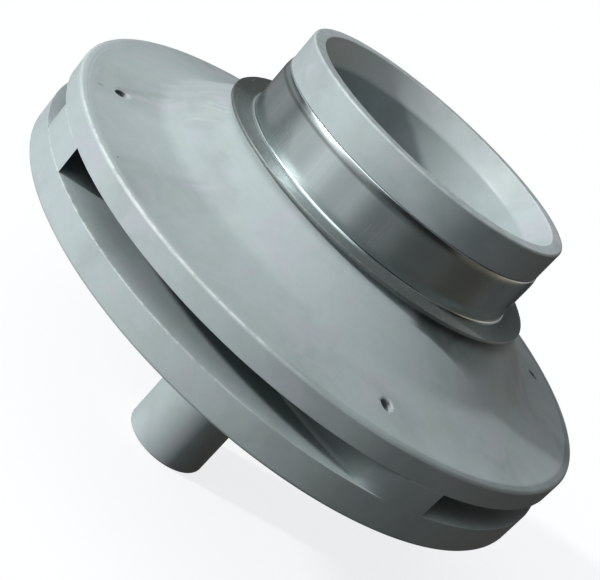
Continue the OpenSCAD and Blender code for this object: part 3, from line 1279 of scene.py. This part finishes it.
@dataclass
class FrontShroud:
    """Concave cone with its rim, its neck and the lip round the eye, and four small holes over the vanes."""

    name: str = "front_shroud_moulding"
    land_w: float = 0.9 * MM
    land_step: float = 0.15 * MM
    step_run: float = 0.35 * MM
    outer_w: float = 16.1 * MM
    bend_h: float = 3.05 * MM
    bend_slope: float = 16.4
    bend_round: float = 1.4 * MM
    shoulder_h: float = 1.0 * MM
    shoulder_w: float = 4.4 * MM
    lip_setback: float = 0.35 * MM
    lip_round: float = 0.5 * MM
    lead_in_w: float = 2.6 * MM
    lead_in_h: float = 4.9 * MM
    hole_r: float = 1.35 * MM
    hole_ring_r: float = 54.2 * MM
    hole_lag: float = 3.5
    hole_chamfer: float = 0.06 * MM
    drill_past: float = 2.0 * MM
    edge_round: float = 0.2 * MM
    steps: int = 36
    bend_steps: int = 8
    flare_steps: int = 12

    def cone(self) -> list[Point]:
        """Gives the outer face, from the fine step up to the shoulder.

        Returns:
            The points, as radius and height, from the rim inwards.
        """
        land = (SIZES.rim_r - SIZES.rim_round - self.land_w, SIZES.z_rim - self.land_step)
        top = (SIZES.neck_r + self.shoulder_w, SIZES.z_seat - self.shoulder_h)
        bend = (SIZES.rim_r - self.outer_w, SIZES.z_rim + self.bend_h)
        slope = math.radians(self.bend_slope)
        run = math.dist(bend, top)
        before = (bend[0] + self.bend_round * math.cos(slope), bend[1] - self.bend_round * math.sin(slope))
        after = (
            bend[0] + self.bend_round * (top[0] - bend[0]) / run,
            bend[1] + self.bend_round * (top[1] - bend[1]) / run,
        )
        outer = arc_to(before, land, -self.bend_slope, self.steps)
        return [*reversed(outer), *arc_to(before, after, 180 - self.bend_slope, self.bend_steps)[1:], top]

    def outline(self) -> list[Point]:
        """Gives the closed section.

        Returns:
            The points, as radius and height.
        """
        shoulder_r = SIZES.neck_r + self.shoulder_w
        land_r = SIZES.rim_r - SIZES.rim_round - self.land_w
        lip_r = SIZES.ring_r - self.lip_setback
        flare_top = (SIZES.throat_r, SIZES.z_seat + CHANNELS.flare_start)
        end = (SIZES.rim_r, SIZES.z_outlet)
        inner = arc_to(CHANNELS.flare_end, end, -CHANNELS.flare_slope, self.steps)
        return [
            *inner,
            (SIZES.rim_r, SIZES.z_rim),
            (land_r + self.step_run, SIZES.z_rim),
            *self.cone(),
            (shoulder_r, SIZES.z_seat),
            (SIZES.neck_r, SIZES.z_seat),
            *band(SIZES.neck_r),
            (lip_r, SIZES.z_ring),
            (lip_r, SIZES.z_lip),
            (SIZES.throat_r + self.lead_in_w, SIZES.z_lip),
            (SIZES.throat_r, SIZES.z_lip - self.lead_in_h),
            *arc_to(flare_top, CHANNELS.flare_end, -90.0, self.flare_steps)[:-1],
        ]

    def build(self) -> bpy.types.Object:
        """Turns the section, rounds its edges and drills the holes.

        Returns:
            The moulding.
        """
        bm = Lathe.turn(self.outline(), Fineness.SMOOTH.value, CHANNELS.vane_angle)
        for v in bm.verts:
            r = math.hypot(v.co.x, v.co.y)
            if abs(r - SIZES.rim_r) < Lathe.weld:
                turn_to(v, CHANNELS.column(CHANNELS.index(v.co), r))
        lip_r = SIZES.ring_r - self.lip_setback
        outlet = [e for e in Lathe.ring(bm, (SIZES.rim_r, SIZES.z_outlet)) if self._over_window(e)]
        for edges, radius, segments in (
            (Lathe.ring(bm, (SIZES.rim_r, SIZES.z_rim)), SIZES.rim_round, 6),
            (Lathe.ring(bm, (lip_r, SIZES.z_lip)), self.lip_round, 5),
            (Lathe.ring(bm, (SIZES.throat_r + self.lead_in_w, SIZES.z_lip)), self.edge_round, 3),
            (Lathe.ring(bm, (SIZES.throat_r, SIZES.z_lip - self.lead_in_h)), self.lip_round, 3),
            (Lathe.ring(bm, (lip_r, SIZES.z_ring)), self.edge_round, 3),
            (Lathe.ring(bm, (SIZES.neck_r + self.shoulder_w, SIZES.z_seat)), self.edge_round, 3),
            (outlet, self.edge_round, 3),
        ):
            Lathe.soften(bm, edges, radius, segments)
        bmesh.ops.recalc_face_normals(bm, faces=bm.faces)
        obj = finished(self.name, bm)
        self._drill(obj)
        return obj

    @staticmethod
    def _over_window(edge: bmesh.types.BMEdge) -> bool:
        """Tells whether an edge of the outlet is over an open channel.

        Args:
            edge: The edge.

        Returns:
            Whether it is over a channel.
        """
        middle = (edge.verts[0].co + edge.verts[1].co) / 2
        angle = (polar(middle)[1] - CHANNELS.vane_angle) % 360
        vane = int(angle // (360 / CHANNELS.vane_count))
        at = angle - vane * 360 / CHANNELS.vane_count
        return at < CHANNELS.tip_deg or at > CHANNELS.width(vane)

    @classmethod
    def hole_angles(cls) -> list[float]:
        """Gives the angles of the small holes, in degrees."""
        count = CHANNELS.vane_count
        return [CHANNELS.vane_angle - cls.hole_lag + i * 360 / count for i in range(count)]

    @classmethod
    def hole_places(cls) -> list[Place]:
        """Gives the places of the small holes, as if they lay in the plane of the hub's end."""
        return [on_round(cls.hole_ring_r, angle, 0.0) for angle in cls.hole_angles()]

    def on_cone(self, r: float, angle: float) -> Place:
        """Gives the place on the outer face at a radius and an angle in degrees.

        Args:
            r: Radius.
            angle: Angle in degrees.

        Returns:
            The place.
        """
        line = sorted(self.cone())
        for (r0, z0), (r1, z1) in zip(line, line[1:]):
            if r0 <= r <= r1:
                return on_round(r, angle, z0 + (z1 - z0) * (r - r0) / (r1 - r0))
        return on_round(r, angle, line[-1][1])

    def _drill(self, obj: bpy.types.Object) -> None:
        """Cuts the small holes, each with a fine chamfer at its mouth.

        Args:
            obj: The finished shroud.
        """
        mouth, past = self.on_cone(self.hole_ring_r, 0.0)[2], self.drill_past
        chamfer = self.hole_chamfer
        outline = [
            (0.0, SIZES.z_outlet - past),
            (self.hole_r, SIZES.z_outlet - past),
            (self.hole_r, mouth - chamfer),
            (self.hole_r + chamfer + past, mouth + past),
            (0.0, mouth + past),
        ]
        drills = bmesh.new()
        for angle in self.hole_angles():
            drill = Lathe.turn(outline, Fineness.HOLE.value, closed=False)
            turned = Matrix.Rotation(math.radians(angle), 4, "Z")
            place = turned @ Matrix.Translation((self.hole_ring_r, 0, 0))
            bmesh.ops.transform(drill, matrix=place, verts=drill.verts)
            Lathe.join(drills, drill)
        bmesh.ops.recalc_face_normals(drills, faces=drills.faces)
        cutter = finished("hole_cutter", drills)
        cut = obj.modifiers.new("holes", "BOOLEAN")
        cut.object = cutter
        cut.operation = "DIFFERENCE"
        cut.solver = "EXACT"
        obj.modifiers.move(obj.modifiers.find(cut.name), 0)
        even = obj.modifiers["even_normals"]
        even.show_viewport = False
        graph = bpy.context.evaluated_depsgraph_get()
        graph.update()
        drilled = bpy.data.meshes.new_from_object(obj.evaluated_get(graph))
        obj.modifiers.remove(cut)
        even.show_viewport = True
        bpy.data.objects.remove(cutter)
        drilled.name = self.name
        shade(drilled)
        obj.data = drilled


@dataclass
class WearRing:
    """Pressed stainless ring: a sleeve with a turned-in upper band and an outward flange at its foot."""

    name: str = "wear_ring_sheet"
    flange_w: float = 5.1 * MM
    flange_t: float = 0.7 * MM
    foot_r: float = 0.55 * MM
    foot_steps: int = 8
    edge_round: float = 0.16 * MM
    ragged: float = 0.07 * MM
    waves: tuple[tuple[float, int, float], ...] = ((0.5, 23, 1.1), (0.3, 57, 0.0), (0.2, 131, 0.4))
    sharp: float = 40.0

    def outline(self) -> list[Point]:
        """Gives the closed section.

        Returns:
            The points, as radius and height.
        """
        outer = SIZES.ring_r + self.flange_w
        flange_z = SIZES.z_seat + self.flange_t
        start, end = (SIZES.ring_r + self.foot_r, flange_z), (SIZES.ring_r, flange_z + self.foot_r)
        return [
            (SIZES.neck_r, SIZES.z_seat),
            (outer, SIZES.z_seat),
            (outer, flange_z),
            *arc_to(start, end, 180.0, self.foot_steps),
            *band(SIZES.ring_r),
            *reversed(band(SIZES.neck_r)),
        ]

    def build(self) -> bpy.types.Object:
        """Turns the section, rounds its edges and roughens the flange's cut edge.

        Returns:
            The ring.
        """
        bm = Lathe.turn(self.outline(), Fineness.SMOOTH.value)
        outer = SIZES.ring_r + self.flange_w
        top_r = SIZES.ring_r - SIZES.turn_in
        for at, radius in (
            ((outer, SIZES.z_seat), self.edge_round),
            ((outer, SIZES.z_seat + self.flange_t), self.edge_round),
            ((top_r, SIZES.z_ring), self.edge_round),
        ):
            Lathe.soften(bm, Lathe.ring(bm, at), radius)
        for v in bm.verts:
            r, angle = polar(v.co)
            if r > outer - 2 * self.edge_round:
                wave = sum(high * math.sin(count * math.radians(angle) + lag) for high, count, lag in self.waves)
                v.co.xy = v.co.xy * (1 - self.ragged * (0.5 + 0.5 * wave) / r)
        bmesh.ops.recalc_face_normals(bm, faces=bm.faces)
        return finished(self.name, bm, self.sharp)


@dataclass
class ShaftInsert:
    """Grooved brass bush with a tapped blind hole."""

    name: str = "shaft_insert_brass"
    crest_r: float = 4.9 * MM
    root_r: float = 5.52 * MM
    pitch: float = 1.27 * MM
    tap_len: float = 25.0 * MM
    drill_angle: float = 118.0
    chamfer: float = 0.5 * MM
    base_share: float = 0.42
    crest_share: float = 0.08
    sunk: float = 0.1 * MM
    per_turn: int = 64

    def build(self, seat: Sequence[Point]) -> bpy.types.Object:
        """Turns the bush and winds the thread's ridge inside it.

        Args:
            seat: Outline of the bush's outside, from its mouth up.

        Returns:
            The bush.
        """
        cone = self.root_r / math.tan(math.radians(self.drill_angle / 2))
        outline = [
            (0.0, self.tap_len + cone),
            (self.root_r, self.tap_len),
            (self.root_r, self.chamfer / 2),
            (self.root_r + self.chamfer / 2, 0.0),
            *seat,
            (0.0, SIZES.insert_len),
        ]
        bm = Lathe.turn(outline, Fineness.SMALL.value, closed=False)
        Lathe.join(bm, self._ridge())
        return finished(self.name, bm)

    def _ridge(self) -> bmesh.types.BMesh:
        """Winds one left-hand ridge with a flat crest, from below the mouth up, and trims both its ends.

        Returns:
            The ridge's mesh.
        """
        bm = bmesh.new()
        foot_r = self.root_r + self.sunk
        base, crest = self.pitch * self.base_share, self.pitch * self.crest_share
        section = [(foot_r, -base), (self.crest_r, -crest), (self.crest_r, crest), (foot_r, base)]
        turns = math.ceil(self.tap_len / self.pitch) + 1
        verts = [bm.verts.new((r, 0.0, z - self.pitch / 2)) for r, z in section]
        edges = [bm.edges.new((a, b)) for a, b in zip(verts, verts[1:] + verts[:1])]
        bmesh.ops.spin(
            bm,
            geom=verts + edges,
            cent=(0, 0, 0),
            axis=(0, 0, -1),
            dvec=(0, 0, self.pitch / self.per_turn),
            angle=math.tau * turns,
            steps=self.per_turn * turns,
            use_merge=False,
        )
        for at, normal in ((self.chamfer, (0, 0, -1)), (self.tap_len - self.pitch, (0, 0, 1))):
            cut = bmesh.ops.bisect_plane(
                bm, geom=[*bm.verts, *bm.edges, *bm.faces], plane_co=(0, 0, at), plane_no=normal, clear_outer=True
            )
            rim = [g for g in cut["geom_cut"] if isinstance(g, bmesh.types.BMEdge) and g.is_boundary]
            bmesh.ops.holes_fill(bm, edges=rim)
        bmesh.ops.recalc_face_normals(bm, faces=bm.faces)
        return bm


@dataclass
class Impeller:
    """The whole part: its pieces, their finishes and what each one stands for."""

    rear: RearShroud = field(default_factory=RearShroud)
    front: FrontShroud = field(default_factory=FrontShroud)
    ring: WearRing = field(default_factory=WearRing)
    insert: ShaftInsert = field(default_factory=ShaftInsert)

    def build(self) -> list[bpy.types.Object]:
        """Builds and dresses every piece.

        Returns:
            The pieces.
        """
        plastic = MouldedPlastic(spots=self.marks(), glint_streaks=self.glint_streaks(), dark_streaks=self.dark_streaks())
        plastic = plastic.material("moulded_plastic")
        steel = PolishedSteel(scratches=self.scratches()).material("stainless_steel")
        brass = TurnedBrass().material("turned_brass")
        return [
            self._dress(self.rear.build(), "rear_shroud", plastic, Slot.PLASTIC),
            self._dress(self.front.build(), "front_shroud", plastic, Slot.PLASTIC),
            self._dress(self.ring.build(), "wear_ring", steel, Slot.STEEL),
            self._dress(self.insert.build(self.rear.seat()), "shaft_insert", brass, Slot.BRASS),
        ]

    def marks(self) -> tuple[Spot, ...]:
        """Gives the small marks on the plastic.

        Returns:
            The marks.
        """
        return (
            Spot(on_round(54.3 * MM, -129.2, SIZES.z_floor), 0.30 * MM, 0.75),
            Spot(self.front.on_cone(59.6 * MM, -129.8), 0.32 * MM, 0.12),
            Spot(self.front.on_cone(58.3 * MM, -154.7), 0.9 * MM, 0.26),
        )

    def glint_streaks(self) -> tuple[Scratch, ...]:
        """Gives the painted streaks of reflected light high on the cone, beside the steel flange.

        Returns:
            The streaks.
        """
        ends = (((40.4, -158.2), (36.3, -152.9)), ((39.6, -160.6), (36.2, -156.0)), ((41.8, -149.5), (38.4, -147.8)))
        width = 0.50 * MM
        cone = self.front.on_cone
        return tuple(Scratch(cone(a[0] * MM, a[1]), cone(b[0] * MM, b[1]), width) for a, b in ends)

    def dark_streaks(self) -> tuple[Scratch, ...]:
        """Gives the faint dark streak that runs up the cone from a small hole."""
        start, end = self.front.on_cone(self.front.hole_ring_r, -156.4), self.front.on_cone(46.6 * MM, -162.4)
        return (Scratch(start, end, 1.7 * MM),)

    @staticmethod
    def scratches() -> tuple[Scratch, ...]:
        """Gives the scratches on the ring's sleeve.

        Returns:
            The scratches.
        """
        ends = (((-127.3, 75.4), (-126.3, 78.1)), ((-85.1, 71.9), (-84.4, 78.4)), ((-88.4, 72.4), (-88.1, 75.6)))
        r, width = SIZES.ring_r, 0.09 * MM
        return tuple(Scratch(on_round(r, a[0], a[1] * MM), on_round(r, b[0], b[1] * MM), width) for a, b in ends)

    @staticmethod
    def _dress(obj: bpy.types.Object, node: str, material: bpy.types.Material, slot: Slot) -> bpy.types.Object:
        """Gives a piece its material, and puts it in the place of a solid.

        Args:
            obj: The piece.
            node: The solid that it stands for.
            material: Its material.
            slot: The record's slot of its finish; not used.

        Returns:
            The piece.
        """
        obj.data.materials.clear()
        obj.data.materials.append(material)
        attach(obj, BODY)
        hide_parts(node)
        log.info("%s: %d faces, stands for %s", obj.name, len(obj.data.polygons), node)
        return obj


@dataclass(frozen=True)
class Panel:
    """A soft panel of light far away. Its directions and its half width are in degrees."""

    azimuth: float
    elevation: float
    spread: float
    strength: float
    tint: Colour = (1.0, 1.0, 1.0)
    full_share: ClassVar[float] = 0.25

    def light(self, g: Graph, way: Wire) -> Wire:
        """Gives the panel's light in a direction, falling softly to nothing at its edge.

        Args:
            g: The graph of the world or of the floor.
            way: The direction, as a unit vector.

        Returns:
            The light, as a colour.
        """
        flat, high = math.cos(math.radians(self.elevation)), math.sin(math.radians(self.elevation))
        facing = g.dot(way, on_round(flat, self.azimuth, high))
        full, none = (math.cos(math.radians(self.spread * share)) for share in (self.full_share, 1.0))
        return g.vector_scaled(self.tint, facing.step(none, full) * self.strength)


@dataclass
class Studio:
    """Camera, key light, pale floor and surroundings.

    The panels around the part light it from the sky, and those below it from the floor. The camera sees neither.
    """

    eye: Place = (0.0, -0.2571, 0.1401)
    right: Place = (0.73787368, 0.23313906, 0.63339451)
    up: Place = (-0.67493635, 0.25233158, 0.69339)
    focal: float = 1346.34
    frame_w: float = 600.0
    sensor: float = 36.0
    near_clip: float = 0.01
    key_from: Place = (-0.833, -0.406, 0.375)
    key_power: float = 2.9
    key_size: float = 4.0
    key_tint: Colour = (1.0, 0.985, 0.96)
    floor_size: float = 16.0
    floor_unseen: Colour = (0.02, 0.02, 0.02)
    floor_pale: Colour = (0.22, 0.225, 0.23)
    floor_glow: Colour = (0.98, 0.99, 1.0)
    floor_glow_power: float = 0.82
    backdrop: Colour = (0.93, 0.935, 0.94)
    around: tuple[Panel, ...] = (
        Panel(-135.0, 56.0, 36.0, 1.90),
        Panel(-150.0, 28.0, 30.0, 0.60),
        Panel(-120.0, 28.0, 30.0, 0.62),
        Panel(-150.0, 4.0, 30.0, 0.58),
        Panel(-20.0, 52.0, 34.0, 0.16),
        Panel(30.0, 4.0, 30.0, 0.48, (1.0, 0.83, 0.60)),
        Panel(60.0, 4.0, 30.0, 0.34),
        Panel(120.0, 4.0, 30.0, 0.22),
        Panel(-12.0, 10.0, 24.0, 0.14, (1.0, 0.86, 0.70)),
        Panel(150.0, 27.0, 16.0, 0.90),
        Panel(170.0, 40.0, 18.0, 0.90),
        Panel(120.0, 28.0, 30.0, 0.28),
    )
    below: tuple[Panel, ...] = (
        Panel(-180.0, 0.0, 30.0, 0.13),
        Panel(-150.0, 0.0, 30.0, 0.48),
        Panel(-120.0, 0.0, 30.0, 0.38),
        Panel(-90.0, 0.0, 30.0, 0.13),
        Panel(-55.0, 0.0, 34.0, 0.06, (0.95, 0.97, 0.92)),
        Panel(-10.0, 0.0, 34.0, 0.042, (1.0, 0.84, 0.66)),
        Panel(30.0, 0.0, 30.0, 0.06),
        Panel(90.0, 0.0, 30.0, 0.26),
        Panel(145.0, 0.0, 36.0, 0.25),
    )

    def build(self) -> None:
        """Sets up the whole studio."""
        self._camera()
        self._key()
        self._floor()
        self._world()
        view = bpy.context.scene.view_settings
        view.view_transform = "Standard"
        view.look = "None"

    def _camera(self) -> None:
        """Places the camera at the photo's viewing angle."""
        right, up = Vector(self.right).normalized(), Vector(self.up).normalized()
        back = right.cross(up).normalized()
        up = back.cross(right)
        data = bpy.data.cameras.new("camera")
        data.sensor_width = self.sensor
        data.lens = self.sensor * self.focal / self.frame_w
        data.clip_start = self.near_clip
        camera = bpy.data.objects.new("camera", data)
        matrix = Matrix((right, up, back)).transposed().to_4x4()
        matrix.translation = Vector(self.eye)
        camera.matrix_world = matrix
        bpy.context.scene.collection.objects.link(camera)
        bpy.context.scene.camera = camera

    def _key(self) -> None:
        """Adds the key light, from the upper left of the picture."""
        data = bpy.data.lights.new("key", "SUN")
        data.energy = self.key_power
        data.angle = math.radians(self.key_size)
        data.color = self.key_tint
        light = bpy.data.objects.new("key", data)
        light.rotation_euler = Vector(self.key_from).to_track_quat("Z", "Y").to_euler()
        bpy.context.scene.collection.objects.link(light)

    def _floor(self) -> None:
        """Adds the pale floor that the hub stands on."""
        bm = bmesh.new()
        bmesh.ops.create_circle(bm, cap_ends=True, segments=96, radius=self.floor_size / 2)
        floor = finished("floor", bm)
        floor.modifiers.clear()
        material, g = new_material("pale_floor")
        seen = g.wire("ShaderNodeLightPath", {}, {}, "Is Camera Ray")
        bounced = self._sum(g, self.below, g.vector_math("NORMALIZE", g.place()))
        dark = g.wire("ShaderNodeBsdfDiffuse", {}, {"Color": self.floor_unseen})
        bounce = g.wire("ShaderNodeEmission", {}, {"Color": bounced, "Strength": 1.0})
        pale = g.wire("ShaderNodeBsdfDiffuse", {}, {"Color": self.floor_pale})
        glow = g.wire("ShaderNodeEmission", {}, {"Color": self.floor_glow, "Strength": self.floor_glow_power})
        unseen = g.wire("ShaderNodeAddShader", {}, {0: dark, 1: bounce})
        white = g.wire("ShaderNodeAddShader", {}, {0: pale, 1: glow})
        shader = g.wire("ShaderNodeMixShader", {}, {0: seen, 1: unseen, 2: white})
        g.node("ShaderNodeOutputMaterial", {}, {"Surface": shader})
        floor.data.materials.append(material)

    @staticmethod
    def _sum(g: Graph, panels: Sequence[Panel], way: Wire) -> Wire:
        """Adds up the light of panels in a direction.

        Args:
            g: The graph of the world or of the floor.
            panels: The panels.
            way: The direction, as a unit vector.

        Returns:
            Their light, added up as a colour.
        """
        total: Input = (0.0, 0.0, 0.0)
        for panel in panels:
            total = g.vector_math("ADD", panel.light(g, way), total)
        return total

    def _world(self) -> None:
        """Makes the surroundings: soft panels, most of them on the key light's side."""
        world = bpy.data.worlds.new("studio")
        bpy.context.scene.world = world
        world.use_nodes = True
        g = Graph(world.node_tree)
        around = self._sum(g, self.around, g.wire("ShaderNodeTexCoord", {}, {}, "Generated"))
        light = g.wire("ShaderNodeBackground", {}, {"Color": around, "Strength": 1.0})
        seen = g.wire("ShaderNodeLightPath", {}, {}, "Is Camera Ray")
        pale = g.wire("ShaderNodeBackground", {}, {"Color": self.backdrop, "Strength": 1.0})
        shader = g.wire("ShaderNodeMixShader", {}, {0: seen, 1: light, 2: pale})
        g.node("ShaderNodeOutputWorld", {}, {"Surface": shader})


def main() -> None:
    """Builds the part and the studio."""
    logging.basicConfig(level=logging.INFO, format="%(message)s", stream=sys.stdout)
    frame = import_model()
    log.info("frame: %s", ", ".join(sorted(frame["nodes"])))
    Studio().build()
    Impeller().build()


if __name__ == "__main__":
    main()
